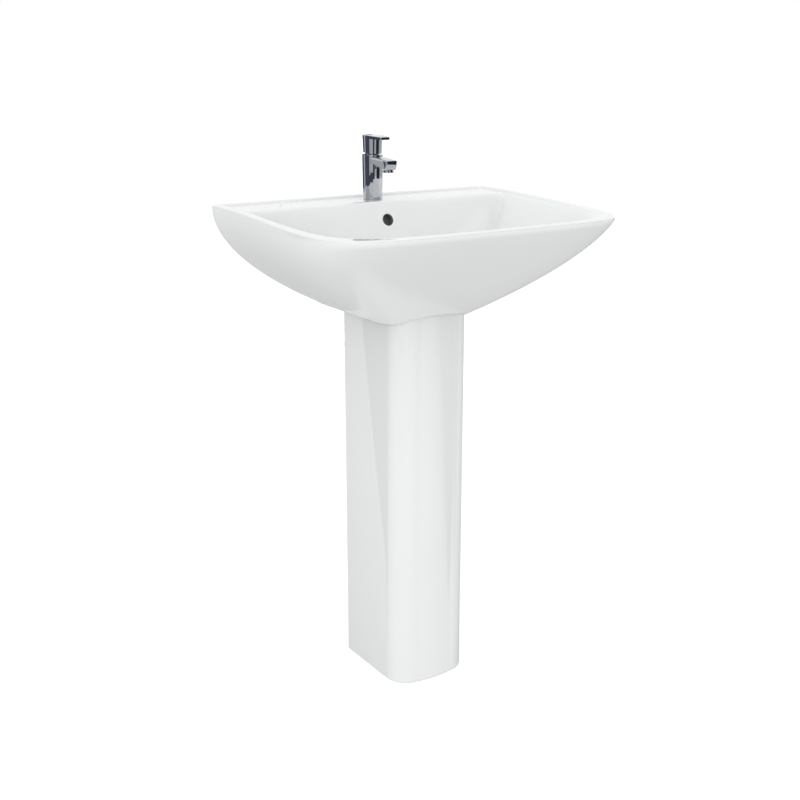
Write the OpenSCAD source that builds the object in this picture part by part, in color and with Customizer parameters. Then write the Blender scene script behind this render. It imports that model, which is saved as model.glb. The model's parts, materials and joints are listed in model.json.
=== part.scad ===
// Pedestal basin with a single-lever mixer tap, pop-up waste, bottle trap and rigid supply tails.
// Frame: origin on the floor under the middle of the plan, +Z up, front towards -Y.
// The wall that the basin stands against is the plane y = wall_y.

/* [Basin] */
// Width across the rim
basin_w = 560; // [520:5:600]
// Depth from the wall to the front of the rim
basin_d = 425; // [405:5:445]
// Height of the rim at the wall
rim_z = 840; // [835:1:850]
// How far the rim falls towards the front
front_drop = 14; // [4:1:18]
// Width of the rim's top
lip_w = 14; // [12:0.5:18]
// Depth of the flat tap deck behind the bowl
deck_d = 92; // [88:1:98]
// Depth of the bowl below the deck
bowl_depth = 146.5; // [140:0.5:150]

/* [Pedestal] */
// Width across the pedestal
pedestal_w = 151; // [146:1:156]
// Front to back length of the pedestal
pedestal_d = 176; // [170:1:180]
// Radius of the two front corners
pedestal_corner_r = 41; // [30:1:50]
// Thickness of the glazed wall
pedestal_wall = 13; // [11:0.5:15]
// How far the front face bows out
pedestal_bow = 3.7; // [1:0.1:6]

/* [Tap] */
// Distance of the tap's centre from the wall
tap_from_wall = 57; // [54:1:60]
// Radius of the tap body at the deck
tap_base_r = 16.8; // [16:0.1:17.5]
// Radius of the tap body's shoulder
tap_top_r = 17.8; // [17.2:0.1:19]
// Reach of the spout's end from the wall
spout_end = 119; // [117:1:122]
// Reach of the lever's tip from the wall
lever_tip = 98.5; // [92:0.5:102]

/* [Waste and trap] */
// Distance of the waste's centre from the wall
waste_from_wall = 200; // [197:1:202]
// Radius of the waste flange
waste_flange_r = 31.5; // [30:0.5:31.5]
// Radius of the trap's bottle
trap_r = 30; // [29.5:0.5:31]
// Radius of the outlet pipe
outlet_r = 16; // [15.9:0.1:16]

/* [Hidden] */
$fn = 64;

glaze = "whitesmoke";
steel_bright = "lightsteelblue";
plastic_white = "snow";
rubber_black = "dimgray";
brass_yellow = "goldenrod";
copper_red = "peru";

// Basin levels and plan
wall_y = basin_d / 2;
half_w = basin_w / 2;
deck_step = 3.5;
deck_z = rim_z - deck_step;
bowl_floor_z = deck_z - bowl_depth;
lip_band = 7;
hull_tip_z = rim_z - 222.6;
hull_floor_z = rim_z - 190;
side_steps = 24;
back_steps = 12;
hull_steps = 10;
bowl_steps = 14;
ring_count = 2 * side_steps + back_steps;

// Pedestal levels and plan
pedestal_back_y = wall_y - 79.6;
pedestal_front_y = pedestal_back_y - pedestal_d;
pedestal_top_z = rim_z - 170;
pad_t = 3;
pocket_top_z = pedestal_top_z + pad_t;
pocket_gap = 1.5;
lug_x = 50;
lug_y = pedestal_back_y - 22;
lug_t = 16;

// Recess behind the bowl
panel_t = 18;
deck_t = 12;
recess_half_w = 165;
recess_wall = 14;
bolt_x = 140;
bolt_z = rim_z - 55;
bolt_r = 5;

// Tap levels
tap_y = wall_y - tap_from_wall;
seal_t = 1.5;
tap_base_z = deck_z + seal_t;
tap_shoulder_z = deck_z + 76.3;
tap_hole_r = 14;
pivot_z = tap_shoulder_z + 5.7;
chamber_floor_z = tap_shoulder_z - 28.8;
chamber_r = 12.8;
chamber_step_z = tap_shoulder_z - 6.8;
chamber_top_r = 14.5;
dome_r = 13;
lever_top_z = pivot_z + 27;
aerator_y = wall_y - 107;
spout_low_z = tap_shoulder_z - 23.8;
tail_x = 8;
tail_r = 5;
stud_y = tap_y + 8.5;
stud_r = 4;
stem_w = 7;
stem_arm = 11.5;

// Supply valves
valve_x = 40;
valve_z = 550;
valve_half_h = 24;
tail_bend_r = 20;
tail_bend_z = rim_z - 50;
supply_r = 7.5;

// Waste and trap levels
waste_y = wall_y - waste_from_wall;
waste_hole_r = 23;
waste_tube_r = 22;
waste_bore_r = 19.5;
waste_tail_r = 20.9;
flange_z = bowl_floor_z + 1;
flange_t = 2.5;
plug_stem_r = 4;
guide_top_z = bowl_floor_z - 20;
tail_end_z = 600;
trap_top_z = 590;
trap_low_z = 538;
trap_outlet_z = 568;
cup_floor_z = 470;
overflow_z = rim_z - 34;
overflow_r = 10.5;

// ---------- Plan curves and heights ----------

function clamp01(v) = max(0, min(1, v));

function smooth(v) = v * v * (3 - 2 * v);

function mix(a, b, t) = a * (1 - t) + b * t;

function bezier(a, b, c, d, t) =
    a * pow(1 - t, 3) + b * 3 * pow(1 - t, 2) * t + c * 3 * (1 - t) * t * t + d * pow(t, 3);

// Half of a basin outline from its back corner to the middle of the front
function half_plan(side, back, front, side_pull, front_pull) = [
    for (i = [0 : side_steps])
        bezier([side, back], [side - 1.7, front - side_pull], [side + front_pull, front], [0, front], i / side_steps)
];

function mirror_half(half) = [for (i = [side_steps - 1 : -1 : 0]) [-half[i][0], half[i][1]]];

function back_row(side, back) = [for (i = [1 : back_steps - 1]) [side * (2 * i / back_steps - 1), back]];

function plan(side, back, front, side_pull, front_pull) =
    let (half = half_plan(side, back, front, side_pull, front_pull))
    concat(half, mirror_half(half), back_row(side, back));

outer_plan = plan(half_w, wall_y, -wall_y, 10, 61);
inner_plan = plan(half_w - lip_w, wall_y - lip_w, -wall_y + lip_w + 1, -14, 30);

// Rim height at a distance from the wall
function rim_height(y) = rim_z - front_drop * smooth(clamp01((wall_y - y - 16) / (basin_d - 16)));

function raised(points, dz) = [for (p = points) [p[0], p[1], rim_height(p[1]) - dz]];

// ---------- Basin surface, ring by ring ----------

function hull_w(k) = 1 - pow(k, 1.85);

function hull_d(k) = 0.419 + 0.581 * pow(1 - pow(k, 1.053), 0.804);

function hull_point(p, k, last) = [
    p[0] * hull_w(k),
    wall_y + (p[1] - wall_y) * hull_d(k),
    last ? hull_floor_z : mix(rim_height(p[1]) - lip_band, hull_tip_z, k)
];

hull_last = 0.843;

function hull_ring(j) = [for (p = outer_plan) hull_point(p, hull_last * j / hull_steps, j == hull_steps)];

function lip_ring(inset, dz) = [
    for (i = [0 : ring_count - 1])
        let (p = mix(outer_plan[i], inner_plan[i], inset / lip_w))
        [p[0], p[1], rim_height(outer_plan[i][1]) - dz]
];

waste_point = [0, waste_y];
waste_seat_r = 32;
deck_edge_y = wall_y - deck_d;
edge_softness = 0.05;
deck_steps = 2;

function spoke_end(p) = waste_point + waste_seat_r * (p - waste_point) / norm(p - waste_point);

// Share of a spoke that lies on the deck before the bowl falls away
function deck_share(p, e) = p[1] > deck_edge_y ? (p[1] - deck_edge_y) / (p[1] - e[1]) : 0;

// Wall slope at the top of the bowl, by the way the spoke points
function wall_slope(p) =
    let (n = (p - waste_point) / norm(p - waste_point))
    2.1 * n[0] * n[0] + (n[1] < 0 ? 1.15 : 3) * n[1] * n[1];

function soften(u) = (sqrt(u * u + pow(edge_softness, 2)) - edge_softness) / (sqrt(1 + pow(edge_softness, 2)) - edge_softness);

function bowl_fall(p, e, r, depth) =
    let (
        share = deck_share(p, e),
        run = norm(p - e) * (1 - share),
        power = max(1.5, wall_slope(p) * run / depth),
        u = clamp01((r - share) / (1 - share))
    )
    1 - pow(1 - soften(u), power);

function bowl_point(p, top, r) =
    let (
        e = spoke_end(p),
        q = mix(p, e, r),
        depth = top - bowl_floor_z
    )
    [q[0], q[1], top - depth * bowl_fall(p, e, r, depth)];

// Share along a spoke for ring j, with one ring laid along the deck's edge
function ring_share(p, j) =
    let (edge = max(deck_share(p, spoke_end(p)), 0.02))
    j < deck_steps ? edge * j / deck_steps
        : edge + (1 - edge) * pow((j - deck_steps) / (bowl_steps - deck_steps), 1.25);

function bowl_ring(j) = [
    for (p = inner_plan)
        bowl_point(p, min(rim_height(p[1]) - deck_step, deck_z), ring_share(p, j))
];

basin_rings = concat(
    [for (j = [hull_steps : -1 : 0]) hull_ring(j)],
    [lip_ring(0, 2.2), lip_ring(0.8, 0.6), lip_ring(2.4, 0), lip_ring(lip_w - 5, 0.2), lip_ring(lip_w - 1.8, 1.2)],
    [for (j = [0 : bowl_steps]) bowl_ring(j)]
);

module loft(rings) {
    count = len(rings[0]);
    points = [for (ring = rings) for (p = ring) p];
    sides = [
        for (k = [0 : len(rings) - 2])
            for (i = [0 : count - 1])
                let (a = k * count + i, b = k * count + (i + 1) % count)
                each [[a, b, b + count], [a, b + count, a + count]]
    ];
    first = [[for (i = [0 : count - 1]) (side_steps + count - i) % count]];
    last = [[for (i = [0 : count - 1]) (len(rings) - 1) * count + i]];
    polyhedron(points = points, faces = concat(first, sides, last), convexity = 8);
}

// Extrudes a side profile, given as points of [y, z], across x
module across(half) {
    rotate([90, 0, 90])
        translate([0, 0, -half])
            linear_extrude(height = 2 * half)
                children();
}

// Half width left inside the hull at a height, less its wall
function recess_w(z) = half_w * hull_w((rim_z - lip_band - z) / (rim_z - lip_band - hull_tip_z)) - recess_wall;

// Space under the deck and behind the bowl, open below and narrower with the hull
module recess() {
    levels = [for (z = [hull_floor_z : 10 : hull_floor_z + 90]) z];
    intersection() {
        across(recess_half_w)
            polygon([
                [wall_y - panel_t, hull_floor_z - 20],
                [wall_y - panel_t, deck_z - deck_t],
                [wall_y - 78, deck_z - deck_t],
                [wall_y - 80, rim_z - 40],
                [wall_y - 98, rim_z - 85],
                [wall_y - 110, rim_z - 125],
                [wall_y - 125, pocket_top_z - 6],
                [wall_y - 125, hull_floor_z - 20]
            ]);
        translate([0, wall_y, 0])
            rotate([90, 0, 0])
                linear_extrude(height = 200)
                    polygon(concat(
                        [[recess_w(levels[0]), hull_floor_z - 30]],
                        [for (z = levels) [recess_w(z), z]],
                        [[half_w, rim_z], [-half_w, rim_z]],
                        [for (i = [len(levels) - 1 : -1 : 0]) [-recess_w(levels[i]), levels[i]]],
                        [[-recess_w(levels[0]), hull_floor_z - 30]]
                    ));
    }
}

// Channel inside the back of the bowl, from the overflow hole to the waste
module overflow_duct() {
    across(15)
        polygon([
            [wall_y - 86, overflow_z + 8],
            [wall_y - 94, overflow_z + 8],
            [wall_y - 112, rim_z - 79],
            [wall_y - 128, rim_z - 112],
            [wall_y - 143, bowl_floor_z - 8],
            [waste_y + waste_tube_r - 2, bowl_floor_z - 8],
            [waste_y + waste_tube_r - 2, bowl_floor_z - 14],
            [wall_y - 137, bowl_floor_z - 14],
            [wall_y - 119, rim_z - 112],
            [wall_y - 104, rim_z - 79]
        ]);
}

module basin() {
    color(glaze)
        difference() {
            loft(basin_rings);
            translate([0, 0, hull_floor_z - 20])
                linear_extrude(height = pocket_top_z - hull_floor_z + 20)
                    pedestal_plan(pocket_gap, pocket_gap);
            recess();
            overflow_duct();
            translate([0, wall_y - 90, overflow_z])
                rotate([90, 0, 0])
                    cylinder(r = overflow_r, h = 30);
            translate([0, tap_y, deck_z - 30])
                cylinder(r = tap_hole_r, h = 60);
            translate([0, waste_y, bowl_floor_z - 60])
                cylinder(r = waste_hole_r, h = 90);
            for (side = [-1, 1])
                translate([side * bolt_x, wall_y + 1, bolt_z])
                    rotate([90, 0, 0])
                        cylinder(r = bolt_r + 1, h = panel_t + 2);
        }
}

// ---------- Pedestal ----------

function arc(cx, cy, r, from, to, steps) = [
    for (i = [0 : steps])
        let (a = mix(from, to, i / steps))
        [cx + r * cos(a), cy + r * sin(a)]
];

// U-shaped plan with a bowed front, grown outwards by grow
// Outline grown by an amount, closed off at its own distance behind the pedestal's back
module pedestal_plan(grow, behind) {
    half = pedestal_w / 2 + grow;
    corner = pedestal_corner_r + grow;
    flat = half - corner;
    bow_r = (flat * flat + pedestal_bow * pedestal_bow) / (2 * pedestal_bow);
    bow_angle = asin(flat / bow_r);
    front = pedestal_front_y - grow;
    polygon(concat(
        [[half, pedestal_back_y + behind]],
        arc(flat, front + corner, corner, 0, -90, 12),
        arc(0, front + bow_r - pedestal_bow, bow_r, -90 + bow_angle, -90 - bow_angle, 12),
        arc(-flat, front + corner, corner, -90, -180, 12),
        [[-half, pedestal_back_y + behind]]
    ));
}

module pedestal() {
    color(glaze)
        difference() {
            union() {
                difference() {
                    linear_extrude(height = pedestal_top_z)
                        pedestal_plan(0, 0);
                    translate([0, 0, -1])
                        linear_extrude(height = pedestal_top_z + 2)
                            pedestal_plan(-pedestal_wall, 5);
                }
                for (side = [-1, 1])
                    translate([side * lug_x - 14, lug_y - 15, 0])
                        cube([28, 30, lug_t]);
            }
            for (side = [-1, 1])
                translate([side * lug_x, lug_y, -1])
                    cylinder(r = 3.5, h = lug_t + 2);
        }
}

module basin_seat_pads() {
    color(rubber_black)
        for (side = [-1, 1], y = [pedestal_front_y + 70, pedestal_front_y + 100])
            translate([side * (pedestal_w / 2 - pedestal_wall / 2) - 4, y - 9, pedestal_top_z])
                cube([8, 18, pad_t]);
}

module floor_screws() {
    color(steel_bright)
        for (side = [-1, 1])
            translate([side * lug_x, lug_y, 0]) {
                cylinder(r = 3, h = lug_t + 1);
                translate([0, 0, lug_t])
                    cylinder(r = 6, h = 4);
            }
}

module floor_screw_caps() {
    color(plastic_white)
        for (side = [-1, 1])
            translate([side * lug_x, lug_y, lug_t])
                difference() {
                    cylinder(r = 9, h = 7);
                    translate([0, 0, -1])
                        cylinder(r = 7, h = 6);
                }
}

// ---------- Tap body and fixings ----------

module ball_at(x, y, z, r) {
    translate([x, y, z])
        sphere(r = r, $fn = 28);
}

// Spout with rounded edges that deepens towards the outlet
module spout() {
    edge = 3;
    root_y = tap_y - 6;
    tip_y = wall_y - spout_end + edge;
    hull()
        for (side = [-1, 1]) {
            ball_at(side * (12.5 - edge), root_y, tap_shoulder_z - 1.3 - edge, edge);
            ball_at(side * (12.5 - edge), root_y, tap_shoulder_z - 12 + edge, edge);
            ball_at(side * (12 - edge), tip_y, spout_low_z + 17 - edge, edge);
            ball_at(side * (12 - edge), tip_y + 4, spout_low_z + edge, edge);
        }
}

module tap_body() {
    color(steel_bright)
        difference() {
            union() {
                translate([0, tap_y, deck_z + 0.2])
                    cylinder(r1 = tap_base_r, r2 = tap_top_r, h = tap_shoulder_z - deck_z - 0.2);
                spout();
            }
            translate([0, tap_y, deck_z - 1])
                cylinder(r = 15.4, h = seal_t + 1);
            translate([0, tap_y, chamber_floor_z])
                cylinder(r = chamber_r, h = 40);
            translate([0, tap_y, chamber_step_z])
                cylinder(r = chamber_top_r, h = 20);
            for (side = [-1, 1])
                translate([side * tail_x, tap_y, tap_base_z - 1]) {
                    cylinder(r = tail_r + 0.05, h = 17);
                    cylinder(r = 3, h = 60);
                }
            translate([0, stud_y, tap_base_z - 1])
                cylinder(r = stud_r + 0.05, h = 16);
            translate([0, aerator_y, spout_low_z - 1])
                cylinder(r = 8.3, h = 9);
            translate([0, aerator_y - 1, spout_low_z + 9.5])
                rotate([-81, 0, 0])
                    cylinder(r = 2.6, h = 42);
        }
}

module tap_base_seal() {
    color(rubber_black)
        translate([0, tap_y, deck_z])
            difference() {
                cylinder(r = 15.3, h = seal_t);
                translate([0, 0, -1])
                    cylinder(r = 13.5, h = 4);
            }
}

module tap_fixing_stud() {
    color(steel_bright)
        translate([0, stud_y, deck_z - 40])
            cylinder(r = stud_r, h = 54);
}

// Horseshoe that clears both tails and the stud
module horseshoe(thickness, drop) {
    translate([0, tap_y, deck_z - deck_t - drop - thickness])
        difference() {
            cylinder(r = 18, h = thickness);
            translate([-tail_x - 6, -25, -1])
                cube([2 * tail_x + 12, 31, thickness + 2]);
            translate([0, 8.5, -1])
                cylinder(r = stud_r + 0.3, h = thickness + 2);
        }
}

module tap_rubber_washer() {
    color(rubber_black)
        horseshoe(3, 0);
}

module tap_clamp_plate() {
    color(steel_bright)
        horseshoe(2, 3);
}

module tap_fixing_nut() {
    color(brass_yellow)
        translate([0, stud_y, deck_z - deck_t - 5 - 8])
            difference() {
                cylinder(r = 7, h = 8, $fn = 6);
                translate([0, 0, -1])
                    cylinder(r = stud_r + 0.05, h = 10);
            }
}

module aerator_ring() {
    color(steel_bright)
        translate([0, aerator_y, spout_low_z])
            difference() {
                union() {
                    translate([0, 0, -3.2])
                        cylinder(r = 9.4, h = 3.2);
                    cylinder(r = 8.25, h = 7);
                }
                translate([0, 0, -5])
                    cylinder(r = 7, h = 20);
            }
}

module aerator_insert() {
    color(rubber_black)
        translate([0, aerator_y, spout_low_z - 2.2])
            difference() {
                cylinder(r = 6.95, h = 8);
                for (ring = [1, 2], i = [0 : 6 * ring - 1])
                    rotate([0, 0, 60 * i / ring])
                        translate([2.5 * ring, 0, -1])
                            cylinder(r = 0.7, h = 10);
            }
}

// ---------- Cartridge ----------

module cartridge_seal() {
    color(rubber_black)
        translate([0, tap_y, chamber_floor_z])
            difference() {
                cylinder(r = 12.4, h = 1);
                for (side = [-1, 1])
                    translate([side * 5.5, 0, -1])
                        cylinder(r = 3, h = 3);
            }
}

module cartridge_body() {
    color(plastic_white)
        translate([0, tap_y, chamber_floor_z + 1])
            difference() {
                union() {
                    cylinder(r = 12.5, h = 23);
                    translate([0, 0, 21])
                        cylinder(r = 13.9, h = 2);
                }
                translate([0, 0, 12])
                    cylinder(r = 11, h = 20);
                for (side = [-1, 1])
                    translate([side * 5.5, 0, -1])
                        cylinder(r = 3, h = 14);
            }
}

module fixed_disc() {
    color("white")
        translate([0, tap_y, chamber_floor_z + 13])
            difference() {
                cylinder(r = 10.8, h = 3);
                for (side = [-1, 1])
                    translate([side * 5.5, 0, -1])
                        cylinder(r = 2, h = 5);
            }
}

module moving_disc() {
    color("white")
        translate([0, tap_y, chamber_floor_z + 16.1])
            difference() {
                union() {
                    cylinder(r = 6.9, h = 2.8);
                    cylinder(r = 4, h = 7.9);
                }
                translate([0, 0, 4.4])
                    cylinder(r = 2.35, h = 5);
            }
}

// Chrome dome that screws over the cartridge; its centre is the lever's pivot
module cartridge_dome() {
    color(steel_bright)
        translate([0, tap_y, 0])
            difference() {
                union() {
                    translate([0, 0, chamber_step_z + 2])
                        cylinder(r = chamber_top_r - 0.1, h = 4.6);
                    translate([0, 0, pivot_z])
                        sphere(r = dome_r);
                }
                translate([0, 0, pivot_z - 30 - 10.5])
                    cylinder(r = 30, h = 30);
                translate([0, 0, pivot_z + 8.1])
                    cylinder(r = 30, h = 30);
                translate([0, 0, pivot_z])
                    sphere(r = 11.6);
                translate([0, 0, pivot_z - 20])
                    cylinder(r = 10.9, h = 20);
            }
}

module lever_turret() {
    color(plastic_white)
        translate([0, tap_y, pivot_z])
            difference() {
                union() {
                    translate([0, 0, -15.4])
                        cylinder(r = 10.7, h = 3.4);
                    translate([0, 0, -12])
                        cylinder(r = 9.5, h = 15.5);
                }
                translate([-4.3, -8.5, -20])
                    cube([8.6, 13, 10.5]);
                translate([-stem_w / 2 - 0.1, -6.5, -20])
                    cube([stem_w + 0.2, 13, 40]);
                translate([-20, 0, 0])
                    rotate([0, 90, 0])
                        cylinder(r = 1.5, h = 40);
            }
}

module lever_pivot_pin() {
    color(steel_bright)
        translate([-9.2, tap_y, pivot_z])
            rotate([0, 90, 0])
                cylinder(r = 1.48, h = 18.4);
}

module lever_stem() {
    color(brass_yellow)
        translate([0, tap_y, pivot_z])
            difference() {
                union() {
                    translate([-stem_w / 2, -stem_w / 2, -5.5])
                        cube([stem_w, stem_w, 23]);
                    translate([0, 0, -stem_arm])
                        cylinder(r = 1.4, h = 8);
                    translate([0, 0, -stem_arm])
                        sphere(r = 2);
                }
                translate([-10, 0, 0])
                    rotate([0, 90, 0])
                        cylinder(r = 1.53, h = 20);
            }
}

// ---------- Lever ----------

module lever_shell() {
    tip_r = 3;
    translate([0, tap_y, pivot_z - 4.2])
        cylinder(r1 = 15.9, r2 = 16.9, h = 26.2);
    hull() {
        translate([0, tap_y, lever_top_z - 5.5])
            cylinder(r = 17.2, h = 5.5, $fn = 48);
        for (side = [-1, 1])
            translate([side * (10 - tip_r), wall_y - lever_tip + tip_r, lever_top_z - 6.3])
                cylinder(r = tip_r, h = 4.3, $fn = 24);
    }
}

module lever_handle() {
    color(steel_bright)
        difference() {
            union() {
                difference() {
                    lever_shell();
                    translate([0, tap_y, pivot_z - 20])
                        cylinder(r = 13.4, h = 33.3);
                }
                translate([0, tap_y, pivot_z + 11.5])
                    cylinder(r = 6, h = 5);
            }
            translate([0, tap_y, pivot_z - 2.2])
                rotate([7.5, 0, 0])
                    translate([-30, -30, -20])
                        cube([60, 60, 20]);
            translate([-stem_w / 2 - 0.05, tap_y - stem_w / 2 - 0.05, pivot_z])
                cube([stem_w + 0.1, stem_w + 0.1, 18]);
            translate([0, tap_y - 3, pivot_z + 15.8])
                rotate([90, 0, 0])
                    cylinder(r = 2.05, h = 20);
            translate([0, tap_y - 14.6, pivot_z + 15.8])
                rotate([90, 0, 0])
                    cylinder(r = 2.85, h = 3);
        }
}

module lever_grub_screw() {
    color("gray")
        translate([0, tap_y - stem_w / 2, pivot_z + 15.8])
            rotate([90, 0, 0])
                cylinder(r = 2, h = 7);
}

module lever_index_plug() {
    color("silver")
        translate([0, tap_y - 14.6, pivot_z + 15.8])
            rotate([90, 0, 0])
                cylinder(r = 2.8, h = 1.9);
}

// ---------- Supply tails and isolating valves ----------

tail_sides = 16;
tail_arc_steps = 5;
tail_slant = (valve_x - tail_x - 2 * tail_bend_r * (1 - cos(45))) / cos(45);
tail_low_z = tail_bend_z - 2 * tail_bend_r * sin(45) - tail_slant * sin(45);

// Centre line of a tail in the x-z plane, from the tap down to the valve
tail_path = concat(
    [[tail_x, tap_base_z + 14]],
    arc(tail_x + tail_bend_r, tail_bend_z, tail_bend_r, 180, 225, tail_arc_steps),
    arc(valve_x - tail_bend_r, tail_low_z, tail_bend_r, 45, 0, tail_arc_steps),
    [[valve_x, valve_z + 12]]
);

function path_normal(path, k) =
    let (
        run = path[min(k + 1, len(path) - 1)] - path[max(k - 1, 0)],
        along = run / norm(run)
    )
    [-along[1], along[0]];

// Copper tail that steps sideways with two equal bends
module tail() {
    count = tail_sides;
    last = (len(tail_path) - 1) * count;
    points = [
        for (k = [0 : len(tail_path) - 1], i = [0 : count - 1])
            let (
                n = path_normal(tail_path, k),
                reach = tail_r * cos(360 * i / count),
                p = tail_path[k] + reach * n
            )
            [p[0], tap_y + tail_r * sin(360 * i / count), p[1]]
    ];
    sides = [
        for (k = [0 : len(tail_path) - 2], i = [0 : count - 1])
            let (a = k * count + i, b = k * count + (i + 1) % count)
            each [[a, b + count, b], [a, a + count, b + count]]
    ];
    polyhedron(
        points = points,
        faces = concat(
            [[for (i = [0 : count - 1]) i]],
            sides,
            [[for (i = [count - 1 : -1 : 0]) last + i]]
        )
    );
}

module hot_tail() {
    color(copper_red)
        mirror([1, 0, 0])
            tail();
}

module cold_tail() {
    color(copper_red)
        tail();
}

module valve_body() {
    translate([valve_x, tap_y, valve_z])
        difference() {
            union() {
                translate([0, 0, -valve_half_h])
                    cylinder(r = 9.4, h = 2 * valve_half_h);
                translate([0, 0, -9])
                    cylinder(r = 12, h = 18, $fn = 6);
                rotate([0, 90, 0])
                    cylinder(r = 6.5, h = 15);
            }
            translate([0, 0, 9])
                cylinder(r = tail_r + 0.1, h = 40);
            cylinder(r = 4, h = 40, center = true);
            sphere(r = 7.1);
            translate([0, 0, -valve_half_h - 1])
                cylinder(r = supply_r + 0.1, h = 16);
            rotate([0, 90, 0])
                cylinder(r = 4.05, h = 40);
        }
}

module hot_valve_body() {
    color(steel_bright)
        mirror([1, 0, 0])
            valve_body();
}

module cold_valve_body() {
    color(steel_bright)
        valve_body();
}

// Ball with its slotted spindle, open at rest
module valve_ball() {
    translate([valve_x, tap_y, valve_z])
        difference() {
            union() {
                sphere(r = 6.8);
                rotate([0, 90, 0])
                    cylinder(r = 4, h = 14.6);
            }
            cylinder(r = 4, h = 20, center = true);
            translate([12.8, -0.6, -5])
                cube([4, 1.2, 10]);
        }
}

module hot_valve_ball() {
    color(brass_yellow)
        mirror([1, 0, 0])
            valve_ball();
}

module cold_valve_ball() {
    color(brass_yellow)
        valve_ball();
}

// Compression nut with its narrow mouth at the top
module compression_nut(bore_r) {
    difference() {
        cylinder(r = 13, h = 14, $fn = 6);
        translate([0, 0, -1])
            cylinder(r = 9.5, h = 11);
        cylinder(r = bore_r, h = 20);
    }
}

module tail_nuts() {
    color(steel_bright)
        for (side = [-1, 1])
            translate([side * valve_x, tap_y, valve_z + 17])
                compression_nut(tail_r + 0.1);
}

module tail_olives() {
    color(brass_yellow)
        for (side = [-1, 1])
            translate([side * valve_x, tap_y, valve_z + valve_half_h])
                difference() {
                    cylinder(r = 9.2, h = 3);
                    translate([0, 0, -1])
                        cylinder(r = tail_r + 0.02, h = 5);
                }
}

module supply_nuts() {
    color(steel_bright)
        for (side = [-1, 1])
            translate([side * valve_x, tap_y, valve_z - 17])
                mirror([0, 0, 1])
                    compression_nut(supply_r + 0.1);
}

module supply_olives() {
    color(brass_yellow)
        for (side = [-1, 1])
            translate([side * valve_x, tap_y, valve_z - valve_half_h - 3])
                difference() {
                    cylinder(r = 9.2, h = 3);
                    translate([0, 0, -1])
                        cylinder(r = supply_r + 0.02, h = 5);
                }
}

// ---------- Waste ----------

module ring(outer_r, inner_r, height) {
    difference() {
        cylinder(r = outer_r, h = height);
        translate([0, 0, -1])
            cylinder(r = inner_r, h = height + 2);
    }
}

module waste_body() {
    color(steel_bright)
        difference() {
            translate([0, waste_y, 0])
                difference() {
                    union() {
                        translate([0, 0, flange_z])
                            cylinder(r = waste_flange_r, h = flange_t);
                        translate([0, 0, 640])
                            cylinder(r = waste_tube_r, h = flange_z - 640 + 1);
                        translate([0, 0, tail_end_z])
                            cylinder(r = waste_tail_r, h = 41);
                    }
                    translate([0, 0, tail_end_z - 1])
                        cylinder(r = waste_bore_r, h = 120);
                }
            for (side = [-1, 1])
                translate([-10, waste_y + side * waste_tube_r - 5, bowl_floor_z - 16])
                    cube([20, 10, 8]);
        }
}

module waste_flange_seal() {
    color(rubber_black)
        translate([0, waste_y, bowl_floor_z])
            ring(waste_flange_r - 1, waste_tube_r + 0.2, 1);
}

module waste_lower_washer() {
    color(rubber_black)
        translate([0, waste_y, pocket_top_z - 3])
            ring(32, waste_tube_r + 0.2, 3);
}

module waste_back_nut() {
    color(brass_yellow)
        translate([0, waste_y, pocket_top_z - 13])
            difference() {
                cylinder(r = 31, h = 10, $fn = 8);
                translate([0, 0, -1])
                    cylinder(r = waste_tube_r + 0.1, h = 12);
            }
}

plug_z = flange_z + flange_t + 1.2;
plug_r = 30;

module waste_plug() {
    color(steel_bright)
        translate([0, waste_y, 0]) {
            translate([0, 0, plug_z])
                rotate_extrude()
                    polygon(concat(
                        [[0, 0], [plug_r, 0]],
                        [for (i = [10 : -1 : 0]) [plug_r * i / 10, 4 - 1.8 * pow(i / 10, 2)]]
                    ));
            translate([0, 0, guide_top_z - 14])
                cylinder(r = plug_stem_r, h = plug_z - guide_top_z + 15);
        }
}

module waste_plug_seal() {
    color(rubber_black)
        translate([0, waste_y, flange_z + flange_t + 0.1])
            ring(25, 21, 1.1);
}

// Guide held by three arms that rest in the waste tube
module plug_guide() {
    color(plastic_white)
        translate([0, waste_y, guide_top_z - 10])
            difference() {
                union() {
                    cylinder(r = 7, h = 10);
                    for (i = [0 : 2])
                        rotate([0, 0, 120 * i + 30])
                            translate([0, -1.2, 0])
                                cube([waste_bore_r - 0.15, 2.4, 6]);
                }
                translate([0, 0, -1])
                    cylinder(r = plug_stem_r + 0.06, h = 12);
            }
}

spring_turns = 5;
spring_r = 5.6;
wire_r = 0.6;
wire_sides = 8;
spring_rings = 75;
spring_low_z = guide_top_z + wire_r + 0.1;
spring_high_z = plug_z - wire_r - 0.1;

function coil_point(k, i) =
    let (
        turn = 360 * spring_turns * k / spring_rings,
        side = 360 * i / wire_sides,
        r = spring_r + wire_r * cos(side)
    )
    [r * cos(turn), waste_y + r * sin(turn), mix(spring_low_z, spring_high_z, k / spring_rings) + wire_r * sin(side)];

module plug_spring() {
    count = wire_sides;
    last = spring_rings * count;
    sides = [
        for (k = [0 : spring_rings - 1], i = [0 : count - 1])
            let (a = k * count + i, b = k * count + (i + 1) % count)
            each [[a, b, b + count], [a, b + count, a + count]]
    ];
    color(steel_bright)
        polyhedron(
            points = [for (k = [0 : spring_rings], i = [0 : count - 1]) coil_point(k, i)],
            faces = concat(
                [[for (i = [count - 1 : -1 : 0]) i]],
                sides,
                [[for (i = [0 : count - 1]) last + i]]
            )
        );
}

// ---------- Bottle trap ----------

module trap_inlet_nut() {
    color(plastic_white)
        translate([0, waste_y, tail_end_z - 2])
            difference() {
                cylinder(r = 28.5, h = 19, $fn = 8);
                translate([0, 0, -1])
                    cylinder(r = 25, h = 17.1);
                cylinder(r = waste_tail_r + 0.3, h = 30);
            }
}

module trap_inlet_washer() {
    color(rubber_black)
        translate([0, waste_y, trap_top_z + 21])
            ring(24.7, waste_tail_r + 0.1, 3);
}

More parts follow.
